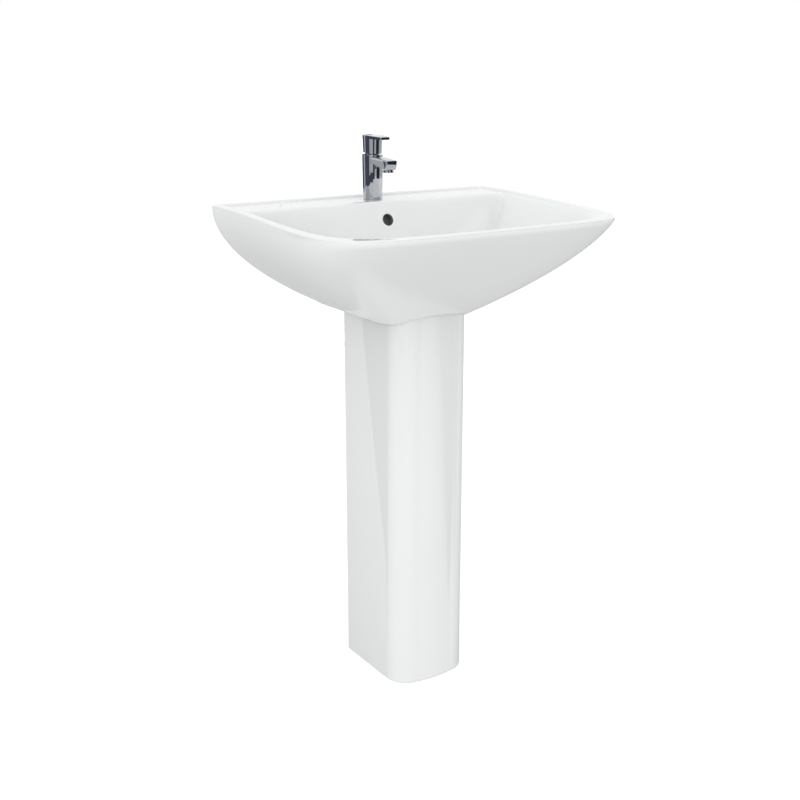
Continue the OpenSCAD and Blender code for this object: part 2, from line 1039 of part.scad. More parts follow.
module trap_body() {
    color(plastic_white)
        translate([0, waste_y, 0])
            difference() {
                union() {
                    translate([0, 0, trap_low_z])
                        cylinder(r = trap_r, h = trap_top_z - trap_low_z);
                    translate([0, 0, trap_top_z - 1])
                        cylinder(r = 24.8, h = 22);
                    translate([0, 20, trap_outlet_z])
                        rotate([-90, 0, 0])
                            cylinder(r = 20, h = 30);
                }
                translate([0, 0, trap_low_z - 1])
                    cylinder(r = trap_r - 3, h = trap_top_z - trap_low_z - 2);
                translate([0, 0, trap_top_z])
                    cylinder(r = 22, h = 40);
                translate([0, 0, trap_top_z - 10])
                    cylinder(r = 16.1, h = 40);
                translate([0, 10, trap_outlet_z])
                    rotate([-90, 0, 0])
                        cylinder(r = 14, h = 50);
                translate([0, 37, trap_outlet_z])
                    rotate([-90, 0, 0])
                        cylinder(r = outlet_r + 0.2, h = 20);
            }
}

module trap_dip_tube() {
    color(plastic_white)
        translate([0, waste_y, 0])
            difference() {
                union() {
                    translate([0, 0, cup_floor_z + 22])
                        cylinder(r = 16, h = trap_top_z - cup_floor_z - 20);
                    translate([0, 0, trap_top_z])
                        cylinder(r = 21.8, h = 2);
                }
                translate([0, 0, cup_floor_z])
                    cylinder(r = 13.2, h = 200);
            }
}

module trap_cup() {
    color(plastic_white)
        translate([0, waste_y, 0])
            difference() {
                union() {
                    translate([0, 0, cup_floor_z])
                        cylinder(r1 = trap_r - 4, r2 = trap_r, h = 6);
                    translate([0, 0, cup_floor_z + 6])
                        cylinder(r = trap_r, h = 64);
                    translate([0, 0, trap_low_z - 10])
                        cylinder(r = trap_r + 3.4, h = 19);
                    for (i = [0 : 11])
                        rotate([0, 0, 30 * i])
                            translate([trap_r + 3.2, 0, trap_low_z - 9])
                                cylinder(r = 1.2, h = 17);
                }
                translate([0, 0, cup_floor_z + 3])
                    cylinder(r = trap_r - 3, h = 80);
                translate([0, 0, trap_low_z - 3])
                    cylinder(r = trap_r + 0.2, h = 40);
            }
}

module trap_cup_seal() {
    color(rubber_black)
        translate([0, waste_y, trap_low_z - 3])
            ring(trap_r, trap_r - 2.8, 3);
}

// Places children along the outlet pipe, with z pointing to the wall
module along_outlet(y) {
    translate([0, y, trap_outlet_z])
        rotate([-90, 0, 0])
            children();
}

module trap_outlet_nut() {
    color(plastic_white)
        along_outlet(waste_y + 40)
            difference() {
                cylinder(r = 25, h = 18, $fn = 8);
                translate([0, 0, -1])
                    cylinder(r = 20.2, h = 14);
                cylinder(r = outlet_r + 0.3, h = 30);
            }
}

module trap_outlet_washer() {
    color(rubber_black)
        along_outlet(waste_y + 50)
            ring(19.9, outlet_r + 0.05, 3);
}

module trap_outlet_pipe() {
    color(plastic_white)
        along_outlet(waste_y + 38)
            ring(outlet_r, outlet_r - 1.8, wall_y - waste_y - 38);
}

module wall_rosette() {
    color(steel_bright)
        along_outlet(wall_y - 6)
            difference() {
                cylinder(r1 = 20, r2 = 28, h = 6);
                translate([0, 0, -1])
                    cylinder(r = outlet_r + 0.2, h = 8);
            }
}

basin();
pedestal();
basin_seat_pads();
floor_screws();
floor_screw_caps();
tap_body();
tap_base_seal();
tap_fixing_stud();
tap_rubber_washer();
tap_clamp_plate();
tap_fixing_nut();
aerator_ring();
aerator_insert();
cartridge_body();
cartridge_seal();
cartridge_dome();
fixed_disc();
moving_disc();
lever_turret();
lever_pivot_pin();
lever_stem();
lever_handle();
lever_grub_screw();
lever_index_plug();
hot_tail();
cold_tail();
hot_valve_body();
cold_valve_body();
hot_valve_ball();
cold_valve_ball();
tail_nuts();
tail_olives();
supply_nuts();
supply_olives();
waste_body();
waste_flange_seal();
waste_lower_washer();
waste_back_nut();
waste_plug();
waste_plug_seal();
plug_guide();
plug_spring();
trap_inlet_nut();
trap_inlet_washer();
trap_body();
trap_dip_tube();
trap_cup();
trap_cup_seal();
trap_outlet_nut();
trap_outlet_washer();
trap_outlet_pipe();
wall_rosette();
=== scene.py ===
"""Looks of a pedestal basin with a single-lever tap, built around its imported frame."""

import json
import math

import bmesh
import bpy
from mathutils import Euler, Matrix, Vector


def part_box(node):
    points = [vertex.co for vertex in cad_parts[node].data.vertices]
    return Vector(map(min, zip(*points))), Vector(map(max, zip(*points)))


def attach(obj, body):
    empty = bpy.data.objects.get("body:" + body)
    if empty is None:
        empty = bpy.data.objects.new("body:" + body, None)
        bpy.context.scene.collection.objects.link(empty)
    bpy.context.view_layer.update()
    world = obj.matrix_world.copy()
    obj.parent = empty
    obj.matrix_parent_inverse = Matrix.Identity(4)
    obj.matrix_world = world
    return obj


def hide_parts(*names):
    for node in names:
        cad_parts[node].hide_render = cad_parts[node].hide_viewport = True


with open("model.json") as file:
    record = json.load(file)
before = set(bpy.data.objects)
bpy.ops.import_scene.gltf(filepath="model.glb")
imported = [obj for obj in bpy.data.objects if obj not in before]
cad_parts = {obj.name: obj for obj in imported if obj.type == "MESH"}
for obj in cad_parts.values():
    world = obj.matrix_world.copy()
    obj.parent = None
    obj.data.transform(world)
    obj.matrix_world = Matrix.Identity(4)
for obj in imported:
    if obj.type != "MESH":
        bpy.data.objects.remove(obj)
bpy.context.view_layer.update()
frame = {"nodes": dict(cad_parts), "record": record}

bl_info = {
    "name": "Pedestal basin",
    "version": (1, 0, 0),
    "blender": (4, 5, 0),
    "location": "3D View > Sidebar > Basin",
    "description": "Builds the glazed basin, pedestal, chrome tap and waste around a fixed frame",
    "category": "Object",
}

MM = 0.001
FIXED = "fixed"


def low(node):
    """Lowest corner of a frame node."""
    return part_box(node)[0]


def high(node):
    """Highest corner of a frame node."""
    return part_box(node)[1]


def centre(node):
    """Middle of a frame node's box."""
    a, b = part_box(node)
    return (Vector(a) + Vector(b)) / 2


WALL_Y = high("basin")[1]
FRONT_Y = low("basin")[1]
RIM_Z = high("basin")[2]
DECK_Z = low("tap_base_seal")[2]
TAP = Vector((0.0, centre("tap_base_seal")[1], 0.0))
SHOULDER_Z = high("tap_body")[2]
PIVOT_Z = centre("lever_pivot_pin")[2]
WASTE = Vector((0.0, centre("waste_body")[1], 0.0))
BOWL_FLOOR_Z = low("waste_flange_seal")[2]
HULL_FLOOR_Z = low("basin")[2]
POCKET_Z = high("basin_seat_pads")[2]


# ---------- Settings ----------


class BasinSettings(bpy.types.PropertyGroup):
    """Sizes and glaze of the basin."""

    front_drop: bpy.props.FloatProperty(
        name="Front drop", description="How far the rim falls towards the front",
        default=14 * MM, unit="LENGTH")
    lip_width: bpy.props.FloatProperty(
        name="Lip width", description="Width of the rim's top",
        default=14 * MM, unit="LENGTH")
    lip_band: bpy.props.FloatProperty(
        name="Lip band", description="Upright band under the rim",
        default=7 * MM, unit="LENGTH")
    deck_depth: bpy.props.FloatProperty(
        name="Deck depth", description="Depth of the flat tap deck",
        default=92 * MM, unit="LENGTH")
    corner_radius: bpy.props.FloatProperty(
        name="Back corner radius", description="Radius of the two back corners in plan",
        default=6 * MM, unit="LENGTH")
    overflow_radius: bpy.props.FloatProperty(
        name="Overflow radius", description="Radius of the overflow hole",
        default=10.5 * MM, unit="LENGTH")
    overflow_drop: bpy.props.FloatProperty(
        name="Overflow drop", description="Height of the rim above the overflow's centre",
        default=34 * MM, unit="LENGTH")
    glaze: bpy.props.FloatVectorProperty(
        name="Glaze", description="Colour of the glaze", subtype="COLOR", size=3,
        default=(0.82, 0.83, 0.824))


class PedestalSettings(bpy.types.PropertyGroup):
    """Sizes of the pedestal."""

    corner_radius: bpy.props.FloatProperty(
        name="Corner radius", description="Radius of the two front corners",
        default=41 * MM, unit="LENGTH")
    bow: bpy.props.FloatProperty(
        name="Front bow", description="How far the front face bows out",
        default=3.7 * MM, unit="LENGTH")
    wall: bpy.props.FloatProperty(
        name="Wall", description="Thickness of the glazed wall",
        default=13 * MM, unit="LENGTH")
    edge: bpy.props.FloatProperty(
        name="Edge radius", description="Rounding of the rear and lower edges",
        default=2.5 * MM, unit="LENGTH")


class TapSettings(bpy.types.PropertyGroup):
    """Sizes and colour of the tap."""

    base_radius: bpy.props.FloatProperty(
        name="Base radius", description="Radius of the tap body at the deck",
        default=16.8 * MM, unit="LENGTH")
    shoulder_radius: bpy.props.FloatProperty(
        name="Shoulder radius", description="Radius of the tap body at its shoulder",
        default=17.8 * MM, unit="LENGTH")
    spout_width: bpy.props.FloatProperty(
        name="Spout width", description="Width of the spout at its root",
        default=25 * MM, unit="LENGTH")
    chrome: bpy.props.FloatVectorProperty(
        name="Chrome", description="Colour of the chrome plate", subtype="COLOR", size=3,
        default=(0.60, 0.62, 0.65))


class StageSettings(bpy.types.PropertyGroup):
    """Camera and light."""

    lens: bpy.props.FloatProperty(
        name="Lens", description="Focal length on a 36 mm sensor",
        default=52.01, unit="CAMERA")
    key_strength: bpy.props.FloatProperty(
        name="Key strength", description="Strength of the soft key light",
        default=0.75, min=0, max=10)
    reflector_strength: bpy.props.FloatProperty(
        name="Reflector strength",
        description="Strength of the soft light thrown up from low in front",
        default=0.95, min=0, max=10)
    floor_bounce: bpy.props.FloatProperty(
        name="Floor bounce", description="Share of light that the floor sends back up",
        default=0.5, min=0, max=1, subtype="FACTOR")
    camera_place: bpy.props.FloatVectorProperty(
        name="Camera place", description="Where the camera stands",
        subtype="TRANSLATION", size=3, default=(-1.0732, -1.5680, 1.0686))
    camera_aim: bpy.props.FloatVectorProperty(
        name="Camera aim", description="Point in the middle of the view",
        subtype="TRANSLATION", size=3, default=(-0.0371, 0.0125, 0.5127))
    floor: bpy.props.FloatVectorProperty(
        name="Floor", description="Colour of the floor", subtype="COLOR", size=3,
        default=(0.97, 0.97, 0.97))


# ---------- Mesh helpers ----------


def mix(a, b, t):
    return a * (1 - t) + b * t


def smooth_step(t):
    return t * t * (3 - 2 * t)


def clamp(v):
    return max(0.0, min(1.0, v))


def bezier(a, b, c, d, t):
    return a * (1 - t) ** 3 + b * 3 * (1 - t) ** 2 * t + c * 3 * (1 - t) * t * t + d * t ** 3


def arc(cx, cy, r, start, stop, steps):
    """Points along an arc in a plane, angles in degrees."""
    return [
        (cx + r * math.cos(math.radians(mix(start, stop, i / steps))),
         cy + r * math.sin(math.radians(mix(start, stop, i / steps))))
        for i in range(steps + 1)
    ]


def grow_ring(bm, ring, places):
    """Extrudes a closed ring of vertices to new places and returns the new ring in order."""
    count = len(ring)
    edges = [bm.edges.get((ring[i], ring[(i + 1) % count])) for i in range(count)]
    made = bmesh.ops.extrude_edge_only(bm, edges=edges)["geom"]
    fresh = {v for v in made if isinstance(v, bmesh.types.BMVert)}
    new = []
    for v, place in zip(ring, places):
        partner = next(e.other_vert(v) for e in v.link_edges if e.other_vert(v) in fresh)
        partner.co = place
        new.append(partner)
    return new


def first_ring(bm, places):
    """A closed ring of edges through the places."""
    ring = bmesh.ops.create_circle(bm, cap_ends=False, radius=1, segments=len(places))["verts"]
    for v, place in zip(ring, places):
        v.co = place
    return list(ring)


def spin_profile(profile, segments=128):
    """Full turn about Z of a (radius, height) profile. A closed one repeats its first point."""
    bm = bmesh.new()
    verts = [bm.verts.new((r, 0, z)) for r, z in profile]
    edges = [bm.edges.new((a, b)) for a, b in zip(verts, verts[1:])]
    bmesh.ops.spin(bm, geom=verts + edges, cent=(0, 0, 0), axis=(0, 0, 1), angle=math.tau,
                   steps=segments, use_merge=True)
    bmesh.ops.remove_doubles(bm, verts=bm.verts, dist=1e-7)
    bmesh.ops.recalc_face_normals(bm, faces=bm.faces)
    return bm


def rounded(points, radius, steps):
    """Rounds each inner corner of an open (r, z) profile."""
    out = [points[0]]
    for before, here, after in zip(points, points[1:], points[2:]):
        a, p, b = Vector(before), Vector(here), Vector(after)
        reach = min(radius, (a - p).length * 0.45, (b - p).length * 0.45)
        start, stop = p + (a - p).normalized() * reach, p + (b - p).normalized() * reach
        for i in range(steps + 1):
            t = i / steps
            out.append(tuple(start * (1 - t) ** 2 + p * 2 * t * (1 - t) + stop * t * t))
    out.append(points[-1])
    return out


def place(bm, matrix):
    bmesh.ops.transform(bm, matrix=matrix, verts=bm.verts)


def to_object(name, bm, sharp=32):
    """Makes a smooth-shaded object from a bmesh, with edges over the sharp angle kept crisp."""
    mesh = bpy.data.meshes.new(name)
    bm.to_mesh(mesh)
    bm.free()
    for poly in mesh.polygons:
        poly.use_smooth = True
    mesh.set_sharp_from_angle(angle=math.radians(sharp))
    piece = bpy.data.objects.new(name, mesh)
    bpy.context.scene.collection.objects.link(piece)
    return piece


def boolean(piece, other_bm, sharp, operation="DIFFERENCE"):
    """Cuts away or joins another closed shape and bakes the result into the piece."""
    other = to_object("other", other_bm)
    step = piece.modifiers.new("step", "BOOLEAN")
    step.operation = operation
    step.solver = "EXACT"
    step.object = other
    bpy.context.view_layer.update()
    baked = bpy.data.meshes.new_from_object(
        piece.evaluated_get(bpy.context.evaluated_depsgraph_get()))
    piece.modifiers.clear()
    old = piece.data
    baked.name = piece.name
    piece.data = baked
    bpy.data.meshes.remove(old)
    bpy.data.objects.remove(other)
    for poly in baked.polygons:
        poly.use_smooth = True
    baked.set_sharp_from_angle(angle=math.radians(sharp))


def prism(points, bottom, top):
    """Closed prism over a plan outline."""
    bm = bmesh.new()
    verts = [bm.verts.new((x, y, bottom)) for x, y in points]
    face = bm.faces.new(verts)
    lifted = bmesh.ops.extrude_face_region(bm, geom=[face])["geom"]
    bmesh.ops.translate(bm, vec=(0, 0, top - bottom),
                        verts=[v for v in lifted if isinstance(v, bmesh.types.BMVert)])
    bmesh.ops.recalc_face_normals(bm, faces=bm.faces)
    return bm


def bar(radius, length, matrix, segments=64):
    """Cylinder along local Z, set in place by a matrix."""
    bm = bmesh.new()
    bmesh.ops.create_cone(bm, cap_ends=True, segments=segments, radius1=radius, radius2=radius,
                          depth=length)
    bmesh.ops.translate(bm, vec=(0, 0, length / 2), verts=bm.verts)
    place(bm, matrix)
    return bm


def facing_front(x, y, z):
    """Matrix that points local Z to the front."""
    return Matrix.Translation((x, y, z)) @ Euler((math.pi / 2, 0, 0)).to_matrix().to_4x4()


def bevel(bm, edges, radius, steps):
    """Rounds the given edges."""
    bmesh.ops.bevel(bm, geom=edges, offset=radius, segments=steps, profile=0.5, affect="EDGES",
                    material=-1, clamp_overlap=True)


def sharp_edges(bm, angle):
    """Edges whose two faces meet at more than an angle in degrees."""
    return [e for e in bm.edges
            if len(e.link_faces) == 2 and e.calc_face_angle() > math.radians(angle)]


def finish_piece(piece, body, slot, *nodes):
    """Gives a new piece the material of its slot, hangs it on its body and hides the frame nodes
    that it stands for.
    """
    piece.data.materials.clear()
    piece.data.materials.append(materials[slot])
    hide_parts(*nodes)
    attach(piece, body)


# ---------- Materials ----------


class Shade:
    """A shader socket that can be used in sums."""

    def __init__(self, tree, socket=None):
        self.tree = tree
        self.socket = socket

    def feed(self, made, **inputs):
        """Feeds a node's inputs by name, with _ for a space, or by number."""
        for key, value in inputs.items():
            name = key.replace("_", " ").strip()
            target = made.inputs[int(name)] if name.isdigit() else made.inputs[name]
            if isinstance(value, Shade):
                self.tree.links.new(value.socket, target)
            else:
                target.default_value = value

    def node(self, kind, settings=None, **inputs):
        """Adds a node, sets it, then feeds its inputs."""
        made = self.tree.nodes.new(kind)
        for key, value in (settings or {}).items():
            setattr(made, key, value)
        self.feed(made, **inputs)
        return made

    def out(self, made, output=0):
        return Shade(self.tree, made.outputs[output])

    def math(self, operation, *values):
        inputs = {f"_{i}": value for i, value in enumerate(values)}
        return self.out(self.node("ShaderNodeMath", {"operation": operation}, **inputs))

    def __add__(self, other):
        return self.math("ADD", self, other)

    def __mul__(self, other):
        return self.math("MULTIPLY", self, other)

    __radd__ = __add__
    __rmul__ = __mul__


def empty_tree(owner):
    """Clears the nodes of a material or a world and returns a Shade to add nodes with."""
    owner.use_nodes = True
    owner.node_tree.nodes.clear()
    return Shade(owner.node_tree)


def new_material(name):
    """A material with its shader and its Object coordinates."""
    material = bpy.data.materials.new(name)
    start = empty_tree(material)
    shader = start.node("ShaderNodeBsdfPrincipled")
    start.node("ShaderNodeOutputMaterial", Surface=start.out(shader))
    return material, shader, start.out(start.node("ShaderNodeTexCoord"), "Object")


def noise(at, scale, detail):
    return at.out(at.node("ShaderNodeTexNoise", Vector=at, Scale=scale, Detail=detail))


def two_tone(at, share, one, other):
    """Colour that goes from one to other with share."""
    mixed = at.node("ShaderNodeMix", {"data_type": "RGBA"}, _0=share,
                    A=(*one, 1), B=(*other, 1))
    return at.out(mixed, "Result")


def bump(at, height, strength, distance):
    return at.out(at.node("ShaderNodeBump", Height=height, Strength=strength, Distance=distance))


def tinted(colour, factor):
    return tuple(clamp(c * factor) for c in colour)


def glaze_material(colour):
    """White vitreous glaze: faint pooling in its tone, slow waviness and a hard clear gloss."""
    material, shader, at = new_material("vitreous_glaze")
    pooling = two_tone(at, noise(at, 6.0, 2.0), tinted(colour, 0.985), tinted(colour, 1.012))
    waves = noise(at, 14.0, 2.0) + 0.05 * noise(at, 900.0, 1.0)
    at.feed(shader, Base_Color=pooling, Roughness=0.17 + 0.05 * noise(at, 35.0, 3.0),
            Metallic=0.0, IOR=1.52, Coat_Weight=0.55, Coat_Roughness=0.05,
            Normal=bump(at, waves, 0.08, 0.0015))
    return material


def metal_material(name, colour, roughness, grain, grain_depth, patch):
    """Metal with patchy polish, fine grain and slight colour drift."""
    material, shader, at = new_material(name)
    drift = two_tone(at, noise(at, 22.0, 3.0), tinted(colour, 0.94), tinted(colour, 1.05))
    at.feed(shader, Base_Color=drift, Metallic=1.0,
            Roughness=roughness + patch * noise(at, 60.0, 4.0),
            Normal=bump(at, noise(at, grain, 2.0), grain_depth, 0.0002))
    return material


def moulded_material(name, colour, roughness, grain, grain_depth):
    """Moulded plastic, rubber or clay with a fine skin."""
    material, shader, at = new_material(name)
    drift = two_tone(at, noise(at, 18.0, 2.0), tinted(colour, 0.93), tinted(colour, 1.05))
    at.feed(shader, Base_Color=drift, Metallic=0.0,
            Roughness=roughness + 0.12 * noise(at, 90.0, 3.0),
            Normal=bump(at, noise(at, grain, 3.0), grain_depth, 0.0004))
    return material


materials = {}


def make_materials():
    """One finish for each material slot, and bare clay darkened with painted shade for the inside
    of the overflow.
    """
    scene = bpy.context.scene
    chrome = tuple(scene.tap_settings.chrome)
    materials.update({
        "glazed_ceramic": glaze_material(tuple(scene.basin_settings.glaze)),
        # Unglazed clay inside the overflow; its very dark tone is partly painted shade of the
        # deep channel
        "clay_and_painted_shade": moulded_material("clay_and_painted_shade", (0.16, 0.155, 0.14), 0.75, 400.0, 0.4),
        "chrome_plate": metal_material("bright_chrome", chrome, 0.035, 300.0, 0.02, 0.03),
        "bright_steel": metal_material(
            "zinc_plated_steel", (0.62, 0.63, 0.65), 0.3, 900.0, 0.25, 0.12),
        "nickel_plate": metal_material(
            "nickel_plate", (0.67, 0.65, 0.6), 0.2, 700.0, 0.12, 0.1),
        "brass": metal_material("machined_brass", (0.74, 0.55, 0.26), 0.26, 800.0, 0.2, 0.12),
        "copper": metal_material("drawn_copper", (0.72, 0.38, 0.25), 0.28, 500.0, 0.15, 0.2),
        "black_rubber": moulded_material(
            "black_rubber", (0.035, 0.035, 0.038), 0.62, 1200.0, 0.3),
        "white_plastic": moulded_material(
            "white_polypropylene", (0.83, 0.83, 0.81), 0.32, 700.0, 0.12),
        "grey_plastic": moulded_material("grey_acetal", (0.22, 0.23, 0.24), 0.38, 900.0, 0.15),
        "alumina": moulded_material("lapped_alumina", (0.86, 0.84, 0.78), 0.22, 1500.0, 0.08),
    })


# ---------- Basin ----------


GLAZE_CREASE = 40
SIDE_STEPS, CORNER_STEPS, BACK_STEPS = 84, 6, 56
HULL_STEPS, BOWL_STEPS = 34, 56

# Plan outlines: bulge and lean of the sides, and how far the curves reach round each side
# and across the front
SIDE_BULGE = 3.49 * MM
SIDE_LEAN = 1.7 * MM
OUTER_REACH = (10 * MM, 61 * MM)
INNER_REACH = (-14 * MM, 30 * MM)
RIM_LEVEL_RUN = 16 * MM

# Hull: level of its floor, fall to its virtual tip, and how it narrows on the way
HULL_LAST = 0.843
HULL_TIP_DROP = 222.6 * MM
SIDE_POWER = 1.85
TIP_DEPTH, FRONT_POWER, FRONT_ROUND = 0.419, 1.053, 0.804

# Bowl: start under the rim, steepness of its walls, and its run to the waste
BOWL_START = 3.5 * MM
SIDE_SLOPE, FRONT_SLOPE, BACK_SLOPE = 2.1, 1.15, 3.0
SPOKE_POWER, FLATTEST = 1.25, 1.5
EDGE_SOFTNESS = 0.05
DECK_SHARE, LEAST_DECK = 1 / 7, 0.02
WASTE_SEAT = 32 * MM
WASTE_HOLE = 23.1 * MM
WASTE_RINGS = ((26, 0.1), (23.8, 0.6), (23.1, 1.6))

# Side profile of the space behind the bowl: distance from the wall and drop below the rim in mm
RECESS_SIDE = ((18, 215), (18, 15.5), (78, 15.5), (80, 40), (98, 85), (110, 125), (125, 173),
               (125, 215))
RECESS_HALF = 165 * MM
RECESS_WALL = 14 * MM
RECESS_LEVELS, RECESS_RISE = 9, 10 * MM
DUCT_HALF = 15 * MM

POCKET_GAP = 1.5 * MM
TAP_HOLE = 14 * MM
STUD_HOLE, STUD_SIDE, STUD_DROP = 6 * MM, 140 * MM, 55 * MM
TRAIL_STEPS = 400


def half_plan(side, back, front, reach, corner):
    """Right half of a basin outline, from the middle of its back corner to the front."""
    side_reach, front_reach = reach
    curve = [
        Vector((bezier(side, side - SIDE_LEAN, side + front_reach, 0, i / SIDE_STEPS),
                bezier(back - corner, front - side_reach, front, front, i / SIDE_STEPS)))
        for i in range(SIDE_STEPS + 1)
    ]
    turn = arc(side - corner, back - corner, corner, 90, 0, CORNER_STEPS)[:-1]
    return [Vector(p) for p in turn] + curve


def basin_plan(side, back, front, reach, corner):
    """Closed outline, clockwise from above, starting at the back right corner."""
    half = half_plan(side, back, front, reach, corner)
    left = [Vector((-p.x, p.y)) for p in reversed(half[:-1])]
    edge = side - corner
    row = [Vector((mix(-edge, edge, i / BACK_STEPS), back)) for i in range(1, BACK_STEPS)]
    return half + left + row


def rim_height(y, drop):
    run = WALL_Y - FRONT_Y
    return RIM_Z - drop * smooth_step(clamp((WALL_Y - y - RIM_LEVEL_RUN) / (run - RIM_LEVEL_RUN)))


def hull_point(p, k, last, band, drop):
    """Point of the outer hull at level k, 0 under the lip and 1 at the hull's virtual tip."""
    wide = 1 - k ** SIDE_POWER
    deep = TIP_DEPTH + (1 - TIP_DEPTH) * (1 - k ** FRONT_POWER) ** FRONT_ROUND
    z = HULL_FLOOR_Z if last else mix(rim_height(p.y, drop) - band, RIM_Z - HULL_TIP_DROP, k)
    return Vector((p.x * wide, WALL_Y + (p.y - WALL_Y) * deep, z))


def lip_sections(width, band):
    """(inset, drop) pairs over the lip, from its outer band to its inner edge."""
    outer_r, inner_r, crown = 2.6 * MM, 4.2 * MM, 0.05 * MM
    upright = [(0.0, band * 0.7), (0.0, band * 0.45)]
    outer = [(outer_r - x, outer_r - z) for x, z in arc(0, 0, outer_r, 0, 90, 6)]
    inner = [(width - inner_r + x, inner_r - z) for x, z in arc(0, 0, inner_r, 90, 20, 6)]
    return upright + outer + [(width * 0.5, -crown)] + inner


def spoke_end(p):
    return WASTE.xy + (p - WASTE.xy).normalized() * WASTE_SEAT


def soften(u):
    e = EDGE_SOFTNESS
    return (math.sqrt(u * u + e * e) - e) / (math.sqrt(1 + e * e) - e)


def bowl_point(p, t, deck_edge, drop):
    """Point of the bowl on the spoke from inner outline point p to the waste.

    t runs from 0 at the outline through DECK_SHARE along the deck's edge to 1 at the waste.
    """
    end = spoke_end(p)
    way = (p - WASTE.xy).normalized()
    slope = SIDE_SLOPE * way.x ** 2 + (FRONT_SLOPE if way.y < 0 else BACK_SLOPE) * way.y ** 2
    top = min(rim_height(p.y, drop) - BOWL_START, DECK_Z)
    depth = top - BOWL_FLOOR_Z
    share = (p.y - deck_edge) / (p.y - end.y) if p.y > deck_edge else 0.0
    edge = max(share, LEAST_DECK)
    if t < DECK_SHARE:
        r = edge * t / DECK_SHARE
    else:
        r = edge + (1 - edge) * ((t - DECK_SHARE) / (1 - DECK_SHARE)) ** SPOKE_POWER
    steepness = max(FLATTEST, slope * (p - end).length * (1 - share) / depth)
    u = soften(clamp((r - share) / (1 - share)))
    q = mix(p, end, r)
    return Vector((q.x, q.y, top - depth * (1 - (1 - u) ** steepness)))


def basin_shell(s):
    """Closed skin of the basin: hull, lip, deck and bowl, down through the waste hole."""
    half = -low("basin")[0] - SIDE_BULGE
    outer = basin_plan(half, WALL_Y, FRONT_Y, OUTER_REACH, s.corner_radius)
    inner = basin_plan(half - s.lip_width, WALL_Y - s.lip_width, FRONT_Y + s.lip_width + 1 * MM,
                       INNER_REACH, s.corner_radius * 1.5)
    deck_edge = WALL_Y - s.deck_depth
    bm = bmesh.new()
    levels = [HULL_LAST * (1 - j / HULL_STEPS) for j in range(HULL_STEPS + 1)]
    ring = first_ring(bm, [hull_point(p, levels[0], True, s.lip_band, s.front_drop)
                           for p in outer])
    bmesh.ops.contextual_create(bm, geom=ring)
    for k in levels[1:]:
        ring = grow_ring(bm, ring, [hull_point(p, k, False, s.lip_band, s.front_drop)
                                    for p in outer])
    for inset, fall in lip_sections(s.lip_width, s.lip_band):
        places = []
        for p, q in zip(outer, inner):
            at = mix(p, q, inset / s.lip_width)
            places.append(Vector((at.x, at.y, rim_height(p.y, s.front_drop) - fall)))
        ring = grow_ring(bm, ring, places)
    for j in range(BOWL_STEPS + 1):
        ring = grow_ring(bm, ring, [bowl_point(p, j / BOWL_STEPS, deck_edge, s.front_drop)
                                    for p in inner])
    for radius, fall in WASTE_RINGS:
        rim = [WASTE.xy + (p - WASTE.xy).normalized() * radius * MM for p in inner]
        ring = grow_ring(bm, ring, [Vector((q.x, q.y, BOWL_FLOOR_Z - fall * MM)) for q in rim])
    bmesh.ops.contextual_create(bm, geom=ring)
    bmesh.ops.recalc_face_normals(bm, faces=bm.faces)
    return bm


def pedestal_plan(s, grow):
    """Open-backed plan of the pedestal, grown outwards by grow."""
    a, b = low("pedestal"), high("pedestal")
    half = b[0] + grow
    corner = s.corner_radius + grow
    flat = half - corner
    front = a[1] + s.bow - grow
    bow_r = (flat * flat + s.bow * s.bow) / (2 * s.bow)
    swing = math.degrees(math.asin(flat / bow_r))
    right = arc(flat, front + corner, corner, 0, -90, 18)
    middle = arc(0, front + bow_r - s.bow, bow_r, -90 + swing, -90 - swing, 24)[1:-1]
    left = arc(-flat, front + corner, corner, -90, -180, 18)
    return [(half, b[1] + grow)] + right + middle + left + [(-half, b[1] + grow)]


def across(side, half):
    """Closed prism across x over a side profile of (distance from the wall, drop) in mm."""
    bm = prism([(WALL_Y - y * MM, RIM_Z - drop * MM) for y, drop in side], -half, half)
    place(bm, Matrix(((0, 0, 1, 0), (1, 0, 0, 0), (0, 1, 0, 0), (0, 0, 0, 1))))
    bmesh.ops.recalc_face_normals(bm, faces=bm.faces)
    return bm


def recess_bm(s):
    """Space under the deck and behind the bowl, narrowing with the hull."""
    bm = across(RECESS_SIDE, RECESS_HALF)
    edge = Vector((high("basin")[0], WALL_Y))
    for i in range(RECESS_LEVELS):
        z = HULL_FLOOR_Z + i * RECESS_RISE
        k = (RIM_Z - s.lip_band - z) / (HULL_TIP_DROP - s.lip_band)
        near = hull_point(edge, k, False, s.lip_band, 0)
        over = hull_point(edge, k - 0.05, False, s.lip_band, 0)
        for sign in (-1, 1):
            at = Vector((sign * (near.x - RECESS_WALL), 0, z))
            way = Vector((sign * (over.x - near.x), 0, over.z - near.z))
            bmesh.ops.bisect_plane(bm, geom=[*bm.verts, *bm.edges, *bm.faces], dist=1e-7,
                                   plane_co=at, plane_no=Vector((way.z, 0, -way.x)) * sign,
                                   clear_outer=True)
            rim = [e for e in bm.edges if e.is_boundary]
            if rim:
                bmesh.ops.contextual_create(bm, geom=rim)
    bmesh.ops.recalc_face_normals(bm, faces=bm.faces)
    return bm


def duct_bm():
    """Channel inside the back of the bowl, from the overflow to the waste."""
    floor = (RIM_Z - BOWL_FLOOR_Z) / MM
    inlet = (WALL_Y - WASTE.y) / MM - 20
    return across([(86, 26), (94, 26), (112, 79), (128, 112), (143, floor + 8),
                   (inlet, floor + 8), (inlet, floor + 14), (137, floor + 14), (119, 112),
                   (104, 79)], DUCT_HALF)


def back_slope(s, z):
    """Point on the middle of the back slope at a height, and the slope's outward normal."""
    p = Vector((0, WALL_Y - s.lip_width))
    deck_edge = WALL_Y - s.deck_depth
    trail = [bowl_point(p, i / TRAIL_STEPS, deck_edge, s.front_drop)
             for i in range(TRAIL_STEPS + 1)]
    i = next(i for i, q in enumerate(trail) if q.z < z)
    way = (trail[i + 6] - trail[i - 6]).normalized()
    return trail[i], Vector((0, way.z, -way.y)).normalized()


